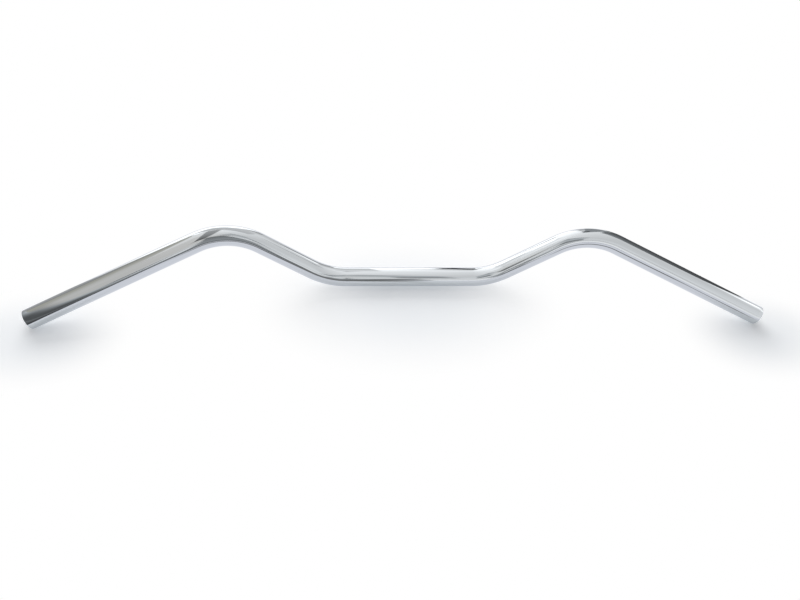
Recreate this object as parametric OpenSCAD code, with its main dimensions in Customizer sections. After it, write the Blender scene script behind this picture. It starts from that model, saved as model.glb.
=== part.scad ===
// Chromed tube handlebar, bent from one length of round steel tube.
// The bar lies as it rests on a flat surface: on its middle straight and on the
// lower edge of both ends. X runs along the bar to the right, Y points away from
// the rider and Z up. The origin is the centre of the middle straight.

/* [Tube] */
// outside diameter of the tube, a standard size for grips and levers
tube_od = 22.2; // [19:0.1:32]
// thickness of the tube wall
tube_wall = 1.6; // [1:0.1:3]
// small bevel on the outside edge of each cut end
end_bevel_out = 0.5; // [0.2:0.1:1]
// small bevel on the inside edge of each cut end
end_bevel_in = 0.4; // [0.2:0.1:1]

/* [Straights] */
// middle straight, from one lower bend to the other
middle_length = 147; // [100:1:180]
// straight for the grip and levers, from the upper bend to the cut end
grip_length = 188; // [130:1:240]

/* [Bends] */
// radius of every bend, measured to the middle of the tube
bend_radius = 75; // [50:1:95]
// how far each lower bend turns the tube
lower_bend = 32.203; // [20:0.001:45]
// how far each upper bend turns the tube
upper_bend = 54.234; // [40:0.001:70]
// direction the lower bend turns to, measured from straight forward up to vertical
lower_roll = 82.225; // [60:0.001:90]
// how far the tube is rolled about itself between the lower and the upper bend
upper_roll = 160.12; // [140:0.001:180]

/* [Hidden] */
// smoothness of round walls and of the sweep of each bend
$fn = 64;
steel = [0.80, 0.81, 0.83];
tube_r = tube_od / 2;
bore_r = tube_r - tube_wall;
middle_half = middle_length / 2;
// how far cutting shapes reach past what they cut, in millimetres and in degrees
past = 1;
past_angle = 8;

// The heights along one side. The rising straight gets the length that brings the
// lower edge of the cut end level with the underside of the middle straight.
// Each direction is the bend's own: along the tube, and the way the bend turns.
side_way = [0, cos(lower_roll), sin(lower_roll)];
rise_way = [cos(lower_bend), side_way[1] * sin(lower_bend), side_way[2] * sin(lower_bend)];
inward_way = [-sin(lower_bend), side_way[1] * cos(lower_bend), side_way[2] * cos(lower_bend)];
across_way = cross(rise_way, inward_way);
turn_way = inward_way * cos(upper_roll) + across_way * sin(upper_roll);
grip_way = rise_way * cos(upper_bend) + turn_way * sin(upper_bend);
// how high each bend and the grip straight climb, and how high the end must come out
lower_climb = bend_radius * (1 - cos(lower_bend)) * side_way[2];
upper_climb = bend_radius * (sin(upper_bend) * rise_way[2] + (1 - cos(upper_bend)) * turn_way[2]);
grip_climb = grip_length * grip_way[2];
end_height = tube_r * (norm([grip_way[0], grip_way[1]]) - 1);
rise_length = (end_height - lower_climb - upper_climb - grip_climb) / rise_way[2];

// places its children at the far end of a bend that starts at the origin along Z and
// turns toward X
module after_bend(angle) {
    translate([bend_radius, 0, 0]) rotate([0, angle, 0]) translate([-bend_radius, 0, 0])
        children();
}

// a round rod bent through the angle, with its far end cut square
module bent_rod(angle, r) {
    difference() {
        multmatrix([[-1, 0, 0, bend_radius], [0, 0, 1, 0], [0, 1, 0, 0], [0, 0, 0, 1]])
            rotate_extrude(angle = angle + past_angle) translate([bend_radius, 0]) circle(r);
        after_bend(angle) translate([-tube_od, -tube_od, 0])
            cube([2 * tube_od, 2 * tube_od, tube_od]);
    }
}

// one side of the bar as a rod: the lower bend, the rise, the upper bend and the grip
// straight, with a cone on the end that bevels the cut
module side_rod(r, last_length, last_cone, last_r) {
    multmatrix([[0, 0, 1, middle_half], [1, 0, 0, 0], [0, 1, 0, 0], [0, 0, 0, 1]])
        rotate([0, 0, lower_roll]) {
            bent_rod(lower_bend, r);
            after_bend(lower_bend) rotate([0, 0, upper_roll]) {
                cylinder(h = rise_length, r = r);
                translate([0, 0, rise_length]) {
                    bent_rod(upper_bend, r);
                    after_bend(upper_bend) {
                        cylinder(h = last_length, r = r);
                        translate([0, 0, last_length])
                            cylinder(h = last_cone, r1 = r, r2 = last_r);
                    }
                }
            }
        }
}

// the whole bent line as a rod
module rod(r, last_length, last_cone, last_r) {
    translate([-middle_half, 0, 0]) rotate([0, 90, 0]) cylinder(h = middle_length, r = r);
    side_rod(r, last_length, last_cone, last_r);
    mirror([1, 0, 0]) side_rod(r, last_length, last_cone, last_r);
}

// the bent tube: the outside shape less the bore that runs through it from end to end
module bar() {
    color(steel) difference() {
        rod(tube_r, grip_length - end_bevel_out, end_bevel_out, tube_r - end_bevel_out);
        rod(bore_r, grip_length - end_bevel_in, end_bevel_in + past, bore_r + end_bevel_in + past);
    }
}

bar();
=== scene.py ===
"""Looks of the bent tube handlebar: a dense mesh of the same tube, its chrome, floor, lights, camera."""

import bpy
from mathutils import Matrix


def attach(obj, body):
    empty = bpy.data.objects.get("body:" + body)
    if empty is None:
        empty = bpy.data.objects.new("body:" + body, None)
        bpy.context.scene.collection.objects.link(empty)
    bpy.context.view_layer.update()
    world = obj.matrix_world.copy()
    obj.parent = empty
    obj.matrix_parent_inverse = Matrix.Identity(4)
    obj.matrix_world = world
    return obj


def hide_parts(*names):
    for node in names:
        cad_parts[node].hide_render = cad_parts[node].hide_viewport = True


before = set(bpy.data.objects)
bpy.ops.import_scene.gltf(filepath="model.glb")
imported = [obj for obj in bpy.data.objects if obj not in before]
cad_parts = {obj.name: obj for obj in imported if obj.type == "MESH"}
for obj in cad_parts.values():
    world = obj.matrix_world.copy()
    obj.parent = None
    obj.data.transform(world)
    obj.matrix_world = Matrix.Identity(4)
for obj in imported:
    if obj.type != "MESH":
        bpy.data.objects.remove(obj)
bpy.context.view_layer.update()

import math
from collections import namedtuple

import bmesh
import bpy
from mathutils import Matrix, Vector

MM = 0.001
WHITE = (1.0, 1.0, 1.0)


def linked(name, data):
    """A new object for the data, in the scene."""
    obj = bpy.data.objects.new(name, data)
    bpy.context.scene.collection.objects.link(obj)
    return obj


# The tube, with the sizes of the part's source
TUBE_OD = 22.2 * MM
TUBE_WALL = 1.6 * MM
BEVEL_OUT = 0.5 * MM
BEVEL_IN = 0.4 * MM
MIDDLE_LENGTH = 147 * MM
GRIP_LENGTH = 188 * MM
BEND_RADIUS = 75 * MM
LOWER_BEND = math.radians(32.203)
UPPER_BEND = math.radians(54.234)
LOWER_ROLL = math.radians(82.225)
UPPER_ROLL = math.radians(160.12)

TUBE_R = TUBE_OD / 2
BORE_R = TUBE_R - TUBE_WALL

# how the bevels' corners are softened, inside the straight outline
CORNER_OUT = 0.12 * MM     # length cut from each side of a corner of the outer bevel
CORNER_IN = 0.10 * MM      # and of the inner bevel

# mesh density
ROUND_STEPS = 128          # round the tube
BEND_STEPS = 48            # along one bend
STRAIGHT_STEP = 6 * MM     # along a straight
CORNER_STEPS = 3           # in each softened corner of a bevel
END_CLEARANCE = 1.5 * MM   # how near to a cut the straight's own rings come

TUBE_UV = "along_round"    # the tube's UV map: metres along it, and turns round it
UV_MIDDLE = 0.5            # the first coordinate at the middle of the bar

# a place on the centreline, the same with two directions across the tube, and a circle of the mesh
Row = namedtuple("Row", "point tangent distance")
Frame = namedtuple("Frame", "point tangent across beside distance")
Ring = namedtuple("Ring", "centre across beside radius distance")


def turned(along, side, angle):
    """The directions along the tube and toward the inside of the bend after turning through angle."""
    return (along * math.cos(angle) + side * math.sin(angle),
            side * math.cos(angle) - along * math.sin(angle))


def right_hand_path():
    """The right half's centreline, from the middle of the bar to the cut end."""
    along = Vector((1, 0, 0))
    side = Vector((0, math.cos(LOWER_ROLL), math.sin(LOWER_ROLL)))
    rise_dir, inward = turned(along, side, LOWER_BEND)
    across = rise_dir.cross(inward)
    turn_side = inward * math.cos(UPPER_ROLL) + across * math.sin(UPPER_ROLL)
    grip_dir, _ = turned(rise_dir, turn_side, UPPER_BEND)

    # the rise is as long as brings the lower edge of the cut end level with the middle's underside
    lower_climb = BEND_RADIUS * (1 - math.cos(LOWER_BEND)) * side.z
    upper_climb = BEND_RADIUS * (math.sin(UPPER_BEND) * rise_dir.z
                                 + (1 - math.cos(UPPER_BEND)) * turn_side.z)
    end_height = TUBE_R * (math.hypot(grip_dir.x, grip_dir.y) - 1)
    rise_length = (end_height - lower_climb - upper_climb - GRIP_LENGTH * grip_dir.z) / rise_dir.z

    rows = []
    place = Vector((0, 0, 0))
    gone = 0.0

    def straight(direction, length, last=False):
        nonlocal place, gone
        steps = max(1, round(length / STRAIGHT_STEP))
        for step in range(steps + (1 if last else 0)):
            offset = length * step / steps
            rows.append(Row(place + direction * offset, direction, gone + offset))
        place = place + direction * length
        gone += length

    def bend(direction, toward, angle):
        nonlocal place, gone
        centre = place + toward * BEND_RADIUS
        for step in range(BEND_STEPS):
            turn = angle * step / BEND_STEPS
            heading, to_centre = turned(direction, toward, turn)
            rows.append(Row(centre - to_centre * BEND_RADIUS, heading, gone + BEND_RADIUS * turn))
        _, to_centre = turned(direction, toward, angle)
        place = centre - to_centre * BEND_RADIUS
        gone += BEND_RADIUS * angle

    straight(along, MIDDLE_LENGTH / 2)
    bend(along, side, LOWER_BEND)
    straight(rise_dir, rise_length)
    bend(rise_dir, turn_side, UPPER_BEND)
    straight(grip_dir, GRIP_LENGTH, last=True)
    return rows


def mirrored(vector):
    """The same vector in the other half of the bar."""
    return Vector((-vector.x, vector.y, vector.z))


def whole_path():
    """The centreline from the left end to the right end; the left half mirrors the right."""
    right = right_hand_path()
    left = [Row(mirrored(row.point), -mirrored(row.tangent), -row.distance) for row in right[:0:-1]]
    return left + right


def rounded_bevel(corner_a, corner_b, before, after, size):
    """A bevel from corner_a to corner_b whose two corners are rounded inside the straight outline."""
    def arc(corner, from_dir, to_dir):   # a quadratic curve from side to side of a corner
        start, end = corner - from_dir * size, corner + to_dir * size
        points = []
        for step in range(CORNER_STEPS + 1):
            share = step / CORNER_STEPS
            points.append(start * (1 - share) ** 2 + corner * 2 * share * (1 - share)
                          + end * share ** 2)
        return points
    slope = (corner_b - corner_a).normalized()
    return arc(corner_a, before, slope) + arc(corner_b, slope, after)


def end_outline():
    """One cut end from outside to bore, as points of (radius, distance short of the cut)."""
    outer = rounded_bevel(Vector((TUBE_R, BEVEL_OUT)), Vector((TUBE_R - BEVEL_OUT, 0)),
                          Vector((0, -1)), Vector((-1, 0)), CORNER_OUT)
    inner = rounded_bevel(Vector((BORE_R + BEVEL_IN, 0)), Vector((BORE_R, BEVEL_IN)),
                          Vector((-1, 0)), Vector((0, 1)), CORNER_IN)
    return outer + inner


def untwisted_frames(path):
    """The path's rows with two directions across the tube, each pair turned on from the one before."""
    previous = path[0].tangent
    across = Vector((0, 0, -1))
    across = (across - previous * across.dot(previous)).normalized()
    frames = []
    for point, tangent, distance in path:
        across = previous.rotation_difference(tangent) @ across
        across = (across - tangent * across.dot(tangent)).normalized()
        frames.append(Frame(point, tangent, across, tangent.cross(across), distance))
        previous = tangent
    return frames


def tube_rings():
    """The closed loop of rings, outside, right rim, bore and left rim, and the kind of each."""
    frames = untwisted_frames(whole_path())
    first, last = frames[0], frames[-1]
    keep = [place for place in frames[1:-1]
            if place.distance - first.distance > END_CLEARANCE
            and last.distance - place.distance > END_CLEARANCE]
    rim = end_outline()

    def ring(place, radius, short=0.0, outward=1):
        return Ring(place.point - place.tangent * short * outward, place.across, place.beside,
                    radius, place.distance - short * outward)

    rings = [ring(place, TUBE_R) for place in keep]
    rings += [ring(last, corner.x, corner.y, 1) for corner in rim]
    rings += [ring(place, BORE_R) for place in reversed(keep)]
    rings += [ring(first, corner.x, corner.y, -1) for corner in reversed(rim)]
    kinds = (["outside"] * len(keep) + ["rim"] * len(rim)
             + ["bore"] * len(keep) + ["rim"] * len(rim))
    return rings, kinds


def build_tube():
    """One closed mesh of the hollow tube: outside and rims in the first material, bore in the second."""
    rings, kinds = tube_rings()
    turns = [2 * math.pi * step / ROUND_STEPS for step in range(ROUND_STEPS)]
    bm = bmesh.new()
    uv = bm.loops.layers.uv.new(TUBE_UV)
    circles = []
    for ring in rings:
        spokes = [ring.across * math.cos(turn) + ring.beside * math.sin(turn) for turn in turns]
        circles.append([bm.verts.new(ring.centre + spoke * ring.radius) for spoke in spokes])
    for here in range(len(rings)):
        there = (here + 1) % len(rings)
        for step in range(ROUND_STEPS):
            after = (step + 1) % ROUND_STEPS
            face = bm.faces.new((circles[here][step], circles[here][after],
                                 circles[there][after], circles[there][step]))
            face.smooth = True
            face.material_index = 1 if "bore" in (kinds[here], kinds[there]) else 0
            # the last face round ends at a whole turn, not back at 0
            corners = ((here, step), (here, step + 1), (there, step + 1), (there, step))
            for loop, (row, steps_round) in zip(face.loops, corners):
                loop[uv].uv = (rings[row].distance + UV_MIDDLE, steps_round / ROUND_STEPS)
    bmesh.ops.recalc_face_normals(bm, faces=bm.faces)
    mesh = bpy.data.meshes.new("handlebar_tube")
    bm.to_mesh(mesh)
    bm.free()
    return linked("handlebar_tube", mesh)


# Helpers that make nodes
def new_material(name):
    """A material with its tree and its Principled shader."""
    mat = bpy.data.materials.new(name)
    mat.use_nodes = True
    return mat, mat.node_tree, mat.node_tree.nodes["Principled BSDF"]


def maths(tree, operation, *values):
    """The result of one Math node on numbers or sockets."""
    node = tree.nodes.new("ShaderNodeMath")
    node.operation = operation
    for socket, value in zip(node.inputs, values):
        if isinstance(value, bpy.types.NodeSocket):
            tree.links.new(value, socket)
        else:
            socket.default_value = value
    return node.outputs[0]


def ranged(tree, value, from_range, to_range, smooth=False):
    """A socket's value mapped from one range to another, along a straight or an S-shaped curve."""
    node = tree.nodes.new("ShaderNodeMapRange")
    if smooth:
        node.interpolation_type = "SMOOTHSTEP"
    node.inputs["From Min"].default_value, node.inputs["From Max"].default_value = from_range
    node.inputs["To Min"].default_value, node.inputs["To Max"].default_value = to_range
    tree.links.new(value, node.inputs["Value"])
    return node.outputs["Result"]


def mixed_colour(tree, factor, first, second):
    """A colour from first to second, by a factor from 0 to 1."""
    node = tree.nodes.new("ShaderNodeMix")
    node.data_type = "RGBA"
    tree.links.new(factor, node.inputs[0])
    node.inputs[6].default_value = (*first, 1)   # the two colour inputs, A and B
    node.inputs[7].default_value = (*second, 1)
    return node.outputs[2]                       # the colour result


def mixed_shader(tree, factor, first, second):
    """The material's surface: the first shader where factor is 0, the second where it is 1."""
    node = tree.nodes.new("ShaderNodeMixShader")
    tree.links.new(factor, node.inputs["Fac"])
    tree.links.new(first, node.inputs[1])
    tree.links.new(second, node.inputs[2])
    tree.links.new(node.outputs["Shader"], tree.nodes["Material Output"].inputs["Surface"])


def uv_socket(tree, layer):
    """A UV map as one vector."""
    node = tree.nodes.new("ShaderNodeUVMap")
    node.uv_map = layer
    return node.outputs["UV"]


def uv_parts(tree, layer):
    """The two coordinates of a UV map."""
    node = tree.nodes.new("ShaderNodeSeparateXYZ")
    tree.links.new(uv_socket(tree, layer), node.inputs["Vector"])
    return node.outputs["X"], node.outputs["Y"]


def level_by_ray(tree, seen, reflected, other):
    """One level for what is seen, also through glass, one for reflections, one for all other rays."""
    path = tree.nodes.new("ShaderNodeLightPath")
    looked = maths(tree, "MAXIMUM", path.outputs["Is Camera Ray"], path.outputs["Is Transmission Ray"])
    level = maths(tree, "MULTIPLY_ADD", looked, seen - other, other)
    return maths(tree, "MULTIPLY_ADD", path.outputs["Is Glossy Ray"], reflected - other, level)


# Chrome and bare steel
NOISE_SPAN = (0.3, 0.7)       # the range that most of a noise's values lie in

CHROME_DARK = (0.575, 0.600, 0.620)
CHROME_LIGHT = (0.630, 0.655, 0.675)
POLISH_LINES = (9.0, 60.0)    # polishing lines: cells in a metre of length, and in a turn
POLISH_PATCHES = (14.0, 3.0)  # broad patches of slightly less gloss
LINE_ROUGHNESS = (0.0, 0.03)
PATCH_ROUGHNESS = (0.035, 0.06)
POLISH_BUMP = 0.05
POLISH_DEPTH = 0.02 * MM

STEEL_DARK = (0.20, 0.19, 0.18)
STEEL_LIGHT = (0.34, 0.32, 0.30)
DRAWING_MARKS = (20.0, 40.0)  # cells in a metre of length, and in a turn
STEEL_ROUGHNESS = (0.38, 0.55)
STEEL_BUMP = 0.5
STEEL_DEPTH = 0.1 * MM
WELD_TURN = 0.30              # where round the bore the tube's weld lies, in turns
WELD_HALF_TURN = 0.018        # half the width of its bead, in turns
WELD_HEIGHT = 4.0             # of its bead, in heights of the drawing marks


def lengthwise_noise(tree, cells, detail):
    """Noise drawn out along the tube: so many cells in a metre of length and in a turn round it."""
    stretch = tree.nodes.new("ShaderNodeMapping")
    stretch.inputs["Scale"].default_value = (*cells, 1.0)
    tree.links.new(uv_socket(tree, TUBE_UV), stretch.inputs["Vector"])
    noise = tree.nodes.new("ShaderNodeTexNoise")
    noise.inputs["Scale"].default_value = 1.0
    noise.inputs["Detail"].default_value = detail
    tree.links.new(stretch.outputs["Vector"], noise.inputs["Vector"])
    return noise.outputs["Fac"]


def add_bump(tree, shader, height, strength, distance):
    """The shader's normal bumped by a height, where 1 stands for distance in metres."""
    bump = tree.nodes.new("ShaderNodeBump")
    bump.inputs["Strength"].default_value = strength
    bump.inputs["Distance"].default_value = distance
    tree.links.new(height, bump.inputs["Height"])
    tree.links.new(bump.outputs["Normal"], shader.inputs["Normal"])


def chrome():
    """Polished chrome plate: faint lengthwise polishing lines, and broad patches of less gloss."""
    mat, tree, shader = new_material("chrome_plate")
    shader.inputs["Metallic"].default_value = 1.0
    lines = lengthwise_noise(tree, POLISH_LINES, detail=3.0)
    patches = lengthwise_noise(tree, POLISH_PATCHES, detail=2.0)
    shade = ranged(tree, lines, NOISE_SPAN, (0.0, 1.0))
    tree.links.new(mixed_colour(tree, shade, CHROME_DARK, CHROME_LIGHT), shader.inputs["Base Color"])
    roughness = maths(tree, "ADD", ranged(tree, lines, NOISE_SPAN, LINE_ROUGHNESS),
                      ranged(tree, patches, NOISE_SPAN, PATCH_ROUGHNESS))
    tree.links.new(roughness, shader.inputs["Roughness"])
    add_bump(tree, shader, lines, POLISH_BUMP, POLISH_DEPTH)
    return mat


def bare_steel():
    """Inside of the tube: dull drawn steel with lengthwise drawing marks and the weld's low bead."""
    mat, tree, shader = new_material("bore_steel")
    shader.inputs["Metallic"].default_value = 1.0
    marks = lengthwise_noise(tree, DRAWING_MARKS, detail=4.0)
    shade = ranged(tree, marks, NOISE_SPAN, (0.0, 1.0))
    tree.links.new(mixed_colour(tree, shade, STEEL_DARK, STEEL_LIGHT), shader.inputs["Base Color"])
    tree.links.new(ranged(tree, marks, NOISE_SPAN, STEEL_ROUGHNESS), shader.inputs["Roughness"])
    turn = uv_parts(tree, TUBE_UV)[1]
    from_weld = maths(tree, "ABSOLUTE", maths(tree, "SUBTRACT", turn, WELD_TURN))
    bead = ranged(tree, from_weld, (0.0, WELD_HALF_TURN), (WELD_HEIGHT, 0.0), smooth=True)
    add_bump(tree, shader, maths(tree, "ADD", bead, marks), STEEL_BUMP, STEEL_DEPTH)
    return mat


tube = build_tube()
tube.data.materials.append(chrome())
tube.data.materials.append(bare_steel())
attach(tube, "root")
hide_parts("bar")

# The floor
FLOOR_Z = -TUBE_R                    # the bar lies on its middle and on both its ends
FLOOR_HALF = 6.0                     # half of its side, in metres
PAPER_COLOUR = (0.86, 0.872, 0.885)
PAPER_ROUGHNESS = 0.9
PAPER_SPECULAR = 0.2
LIFT_COLOUR = (0.95, 0.985, 1.03)
LIFT_SEEN = 0.33                     # how much brighter than lit the paper is when looked at
LIFT_REFLECTED = 0.38                # and when seen in the chrome
WHITE_REFLECTED = (0.95, 0.957, 1.017)  # the white paper's colour in the chrome
# the lit paper shows in an oval round the middle and one round each end; elsewhere it is plain white
OVALS = ((0.0, -0.03, 0.19, 0.112),  # centre x and y, half sizes
         (-0.40, -0.078, 0.105, 0.072),
         (0.41, -0.083, 0.105, 0.072))
OVAL_CORE = 0.15                     # the part of an oval's radius inside which nothing is faded
SHEET_UV = "sheet"                   # the UV map of the floor and the cards, from 0 to 1 each way


def add_plane(name, centre, x_axis, y_axis, half_x, half_y, mat):
    """A flat rectangle that faces along x_axis cross y_axis."""
    sides = ((-1, -1), (1, -1), (1, 1), (-1, 1))
    corners = [centre + x_axis * side_x * half_x + y_axis * side_y * half_y
               for side_x, side_y in sides]
    mesh = bpy.data.meshes.new(name)
    mesh.from_pydata([tuple(corner) for corner in corners], [], [(0, 1, 2, 3)])
    uv = mesh.uv_layers.new(name=SHEET_UV)
    for loop, (side_x, side_y) in zip(uv.data, sides):
        loop.uv = ((side_x + 1) / 2, (side_y + 1) / 2)
    mesh.materials.append(mat)
    obj = linked(name, mesh)
    return obj


def outside_oval(tree, position, centre_x, centre_y, half_x, half_y):
    """0 in the core of an oval of floor, rising smoothly to 1 at its rim."""
    placed = tree.nodes.new("ShaderNodeVectorMath")
    placed.operation = "MULTIPLY_ADD"
    tree.links.new(position, placed.inputs[0])
    placed.inputs[1].default_value = (1 / half_x, 1 / half_y, 0.0)
    placed.inputs[2].default_value = (-centre_x / half_x, -centre_y / half_y, 0.0)
    length = tree.nodes.new("ShaderNodeVectorMath")
    length.operation = "LENGTH"
    tree.links.new(placed.outputs["Vector"], length.inputs[0])
    return ranged(tree, length.outputs["Value"], (OVAL_CORE, 1.0), (0.0, 1.0), smooth=True)


def floor_material():
    """White paper, lit and shaded near the bar and plain white elsewhere."""
    mat, tree, shader = new_material("floor_paper")
    nodes, links = tree.nodes, tree.links
    shader.inputs["Base Color"].default_value = (*PAPER_COLOUR, 1)
    shader.inputs["Roughness"].default_value = PAPER_ROUGHNESS
    shader.inputs["Specular IOR Level"].default_value = PAPER_SPECULAR

    # near the bar: the lit paper with its shadow, lifted towards white
    lift = nodes.new("ShaderNodeEmission")
    lift.inputs["Color"].default_value = (*LIFT_COLOUR, 1)
    links.new(level_by_ray(tree, LIFT_SEEN, LIFT_REFLECTED, 0.0), lift.inputs["Strength"])
    near = nodes.new("ShaderNodeAddShader")
    links.new(shader.outputs["BSDF"], near.inputs[0])
    links.new(lift.outputs["Emission"], near.inputs[1])

    # elsewhere the paper is seen as plain white
    white = nodes.new("ShaderNodeEmission")
    white.inputs["Strength"].default_value = 1.0
    path = nodes.new("ShaderNodeLightPath")
    links.new(mixed_colour(tree, path.outputs["Is Glossy Ray"], WHITE, WHITE_REFLECTED),
              white.inputs["Color"])
    place = nodes.new("ShaderNodeNewGeometry")
    part = level_by_ray(tree, 1.0, 1.0, 0.0)
    for oval in OVALS:
        part = maths(tree, "MULTIPLY", part, outside_oval(tree, place.outputs["Position"], *oval))
    mixed_shader(tree, part, near.outputs["Shader"], white.outputs["Emission"])
    return mat


add_plane("floor", Vector((0, 0, FLOOR_Z)), Vector((1, 0, 0)), Vector((0, 1, 0)),
          FLOOR_HALF, FLOOR_HALF, floor_material())

# Cards that the chrome reflects
COOL = (0.94, 0.975, 1.0)
IVORY = (1.0, 0.975, 0.94)
CREAM = (1.0, 0.975, 0.86)


def edge_fade(tree, coordinate, softness):
    """1 over a card's middle, falling smoothly to 0 at both its edges along one coordinate."""
    from_middle = maths(tree, "ABSOLUTE", maths(tree, "MULTIPLY_ADD", coordinate, 2.0, -1.0))
    return ranged(tree, from_middle, (1.0 - softness, 1.0), (1.0, 0.0), smooth=True)


def card_material(name, glow, softness, tint):
    """A glowing sheet, from one brightness at its foot to another at its top, with soft edges."""
    mat, tree, shader = new_material(name)
    tree.nodes.remove(shader)
    across, up = uv_parts(tree, SHEET_UV)
    light = tree.nodes.new("ShaderNodeEmission")
    light.inputs["Color"].default_value = (*tint, 1)
    tree.links.new(ranged(tree, up, (0.0, 1.0), glow), light.inputs["Strength"])
    solid = maths(tree, "MULTIPLY", edge_fade(tree, across, softness), edge_fade(tree, up, softness))
    clear = tree.nodes.new("ShaderNodeBsdfTransparent")
    mixed_shader(tree, solid, clear.outputs["BSDF"], light.outputs["Emission"])
    return mat


def card(name, at, bearing, lean, half_sizes, glow, softness, tint=WHITE):
    """A studio card that only reflections see.

    at is its centre in metres, and half_sizes are half its width and height. At bearing 0 it faces
    -Y, and it turns toward -X with the bearing. lean is how far its top comes forward. glow is its
    brightness at the foot and at the top, and softness the part of it that fades toward each edge.
    """
    turn, tip = math.radians(bearing), math.radians(lean)
    x_axis = Vector((math.cos(turn), -math.sin(turn), 0))
    y_axis = Vector((-math.sin(turn) * math.sin(tip), -math.cos(turn) * math.sin(tip), math.cos(tip)))
    obj = add_plane(name, Vector(at), x_axis, y_axis, *half_sizes,
                    card_material(name, glow, softness, tint))
    obj.visible_camera = False
    obj.visible_diffuse = False
    obj.visible_shadow = False


# the room, which most bands come from: walls, ceiling, the tall window behind on the left and the
# light round it, a dark rail on the left and a small light on the right
card("wall_right", at=(2.54, -0.06, 0.84), bearing=75, lean=-11,
     half_sizes=(2.67, 0.75), glow=(0.45, 1.8), softness=0.02)
card("wall_back", at=(0.66, 2.2, 2.07), bearing=-3, lean=57,
     half_sizes=(3.4, 3.5), glow=(0.15, 1.63), softness=0.2)
card("wall_front", at=(0.31, -3.12, 0.92), bearing=185, lean=-62,
     half_sizes=(1.8, 2.15), glow=(1.28, 0.44), softness=0.03)
card("rail_left", at=(-1.47, -0.51, 0.71), bearing=-122, lean=3,
     half_sizes=(3.5, 0.075), glow=(0.05, 0.05), softness=0.09)
card("ceiling", at=(0.57, -0.15, 1.37), bearing=307, lean=103,
     half_sizes=(2.68, 1.41), glow=(1.35, 0.6), softness=0.8)
card("window", at=(-0.51, 2.01, 3.37), bearing=-36.5, lean=0,
     half_sizes=(1.31, 3.38), glow=(1.9, 1.9), softness=0.02)
card("window_glow", at=(-0.1, 1.2, 2.14), bearing=-23, lean=69,
     half_sizes=(0.84, 0.98), glow=(1.7, 1.2), softness=0.13)
card("light_right", at=(0.65, 0.06, 0.14), bearing=88, lean=-27,
     half_sizes=(0.035, 0.11), glow=(1.9, 1.9), softness=0.8)

# the left grip: a warm grey side, and two small boards for its end and the band along its back
card("panel_left", at=(-1.01, -0.16, 0.83), bearing=-98, lean=-9.5,
     half_sizes=(1.35, 0.855), glow=(0.52, 0.52), softness=0.25, tint=CREAM)
card("panel_front_left", at=(-0.57, -0.45, 0.335), bearing=-115, lean=74,
     half_sizes=(0.62, 0.68), glow=(0.4, 0.98), softness=0.66, tint=IVORY)
card("board_left_end", at=(-0.41, -0.15, 0.01), bearing=-130, lean=56,
     half_sizes=(0.1, 0.083), glow=(0.04, 0.16), softness=0.5, tint=COOL)
card("board_left_back", at=(-0.53, 0.09, 0.12), bearing=2, lean=-36,
     half_sizes=(0.16, 0.16), glow=(0.51, 0.24), softness=0.04)

# the left upper bend: its dark arc, the light line beside it, and the greys before and behind
card("board_over_left_bend", at=(-0.244, -0.107, 0.254), bearing=183, lean=106.5,
     half_sizes=(0.032, 0.22), glow=(0.02, 0.57), softness=0.3)
card("strip_over_left_bend", at=(-0.178, -0.131, 0.227), bearing=184.5, lean=149,
     half_sizes=(0.007, 0.11), glow=(0.44, 0.11), softness=0.02)
card("board_behind_left_bend", at=(-0.2, 0.164, 0.238), bearing=27, lean=-84,
     half_sizes=(0.175, 0.097), glow=(0.72, 0.78), softness=0.06)
card("board_before_left_bend", at=(-0.135, -0.405, 0.29), bearing=-154, lean=-12,
     half_sizes=(0.09, 0.305), glow=(0.43, 0.13), softness=0.29, tint=COOL)

# the left lower bend's light strip
card("strip_lower_left_bend", at=(-0.05, 0.15, 0.15), bearing=-9, lean=38.5,
     half_sizes=(0.028, 0.11), glow=(0.71, 1.07), softness=0.2)

# the right upper bend and the right grip's back, and the dark dash along the back of the middle
card("board_right_back", at=(0.396, 0.094, 0.24), bearing=47.5, lean=-15,
     half_sizes=(0.1, 0.26), glow=(0.05, 0.42), softness=0.03, tint=COOL)
card("board_behind_right_bend", at=(0.25, 0.118, 0.24), bearing=-33, lean=-9,
     half_sizes=(0.065, 0.195), glow=(0.36, 0.48), softness=0.07, tint=COOL)
card("strip_behind_right_bend", at=(0.209, 0.074, 0.165), bearing=20, lean=-71,
     half_sizes=(0.017, 0.024), glow=(0.02, 0.02), softness=0.4)
card("board_behind_middle", at=(0.087, 0.139, 0.065), bearing=72, lean=-28,
     half_sizes=(0.052, 0.083), glow=(0.02, 0.02), softness=0.24, tint=COOL)

# low down in front: the dark lines along the lower half of the tube
card("rail_front", at=(-0.405, -0.13, 0.041), bearing=232, lean=-7,
     half_sizes=(0.915, 0.052), glow=(0.02, 0.69), softness=0.02, tint=COOL)
card("rail_front_low", at=(-0.105, -0.09, 0.007), bearing=151, lean=-17,
     half_sizes=(0.165, 0.018), glow=(0.12, 0.32), softness=0.58)
card("table_front", at=(-0.34, -0.54, 0.003), bearing=160, lean=90,
     half_sizes=(0.63, 0.23), glow=(0.27, 0.03), softness=0.19, tint=COOL)

# round the camera: the soft greys along the tube's upper half
card("board_by_camera", at=(0.03, -0.48, 0.58), bearing=232.5, lean=41.5,
     half_sizes=(0.215, 0.123), glow=(0.79, 0.45), softness=0.1, tint=COOL)
card("board_under_camera", at=(0.1, -0.51, 0.44), bearing=221, lean=-5,
     half_sizes=(0.105, 0.17), glow=(0.11, 0.9), softness=0.19, tint=COOL)
card("board_front_far", at=(0.07, -1.29, 0.3), bearing=148, lean=-3.5,
     half_sizes=(0.155, 0.19), glow=(0.2, 0.76), softness=0.39, tint=COOL)
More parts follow.
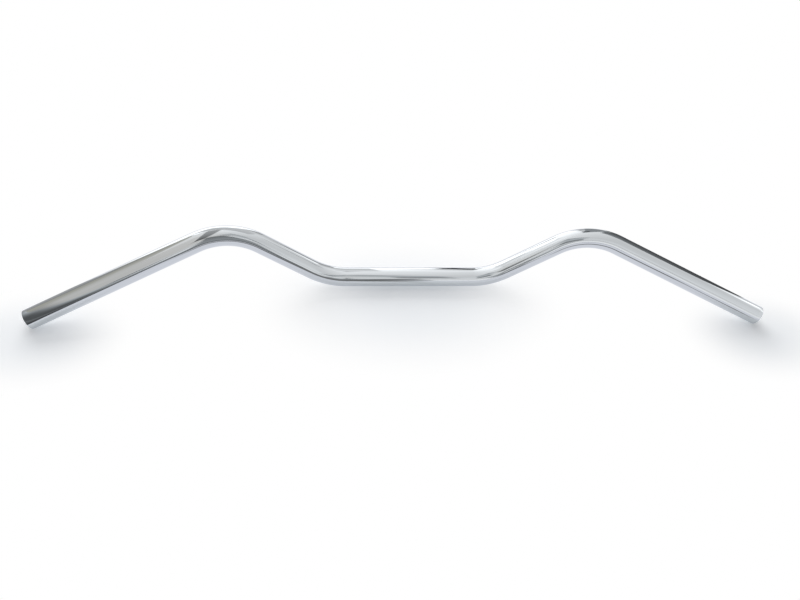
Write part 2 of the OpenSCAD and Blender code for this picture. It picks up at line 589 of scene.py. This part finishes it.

# just over the floor: painted shadow, dark cards that only reflections see, in place of the darkest part
# of the bar's own shadow under the right grip
card("painted_shadow_right_grip", at=(0.26, -0.12, -0.008), bearing=192, lean=98,
     half_sizes=(0.086, 0.026), glow=(0.11, 0.31), softness=0.64)
card("painted_shadow_right_end", at=(0.355, -0.113, -0.01), bearing=166, lean=85,
     half_sizes=(0.057, 0.013), glow=(0.03, 0.17), softness=0.63)

# World and lamps
WORLD_COLOUR = (0.985, 0.993, 1.0)
AMBIENT = 0.14             # how bright the world is for the floor; it is seen and reflected as white

world = bpy.data.worlds.new("studio")
bpy.context.scene.world = world
world.use_nodes = True
world_tree = world.node_tree
background = world_tree.nodes["Background"]
background.inputs["Color"].default_value = (*WORLD_COLOUR, 1)
world_tree.links.new(level_by_ray(world_tree, 1.0, 1.0, AMBIENT), background.inputs["Strength"])


def softbox(name, azimuth, elevation, distance, width, height, radiance):
    """A rectangular lamp that faces the bar; the cards stand for it in reflections."""
    turn, rise = math.radians(azimuth), math.radians(elevation)
    place = Vector((math.sin(turn) * math.cos(rise), math.cos(turn) * math.cos(rise),
                    math.sin(rise))) * distance
    data = bpy.data.lights.new(name, "AREA")
    data.shape = "RECTANGLE"
    data.size, data.size_y = width, height
    data.energy = radiance * math.pi * width * height
    obj = linked(name, data)
    obj.location = place
    obj.rotation_mode = "QUATERNION"
    obj.rotation_quaternion = (-place).to_track_quat("-Z", "Y")
    obj.visible_camera = False
    obj.visible_glossy = False


softbox("window_lamp", azimuth=-15, elevation=34, distance=3.0, width=2.5, height=2.2, radiance=3.4)
softbox("ceiling_lamp", azimuth=0, elevation=80, distance=3.0, width=2.4, height=2.4, radiance=1.05)

# Camera
CAMERA_PLACE = Vector((-90.2, -535.9, 534.6)) * MM
CAMERA_YAW = math.radians(8.75)      # from +Y toward +X
CAMERA_PITCH = math.radians(46.65)   # downward
CAMERA_ROLL = math.radians(-6.20)
FOCAL_PIXELS = 649.5
IMAGE_WIDTH = 800
SENSOR_WIDTH = 36
CLIP_RANGE = (0.01, 100)

forward = Vector((math.sin(CAMERA_YAW) * math.cos(CAMERA_PITCH),
                  math.cos(CAMERA_YAW) * math.cos(CAMERA_PITCH), -math.sin(CAMERA_PITCH)))
level = Vector((math.cos(CAMERA_YAW), -math.sin(CAMERA_YAW), 0))
right = level * math.cos(CAMERA_ROLL) + forward.cross(level) * math.sin(CAMERA_ROLL)
down = forward.cross(right)

camera_data = bpy.data.cameras.new("camera")
camera_data.sensor_width = SENSOR_WIDTH
camera_data.lens = FOCAL_PIXELS / IMAGE_WIDTH * SENSOR_WIDTH
camera_data.clip_start, camera_data.clip_end = CLIP_RANGE
camera = linked("camera", camera_data)
camera.rotation_mode = "QUATERNION"
camera.rotation_quaternion = Matrix((right, -down, -forward)).transposed().to_quaternion()
camera.location = CAMERA_PLACE
bpy.context.scene.camera = camera
bpy.context.scene.view_settings.view_transform = "Standard"
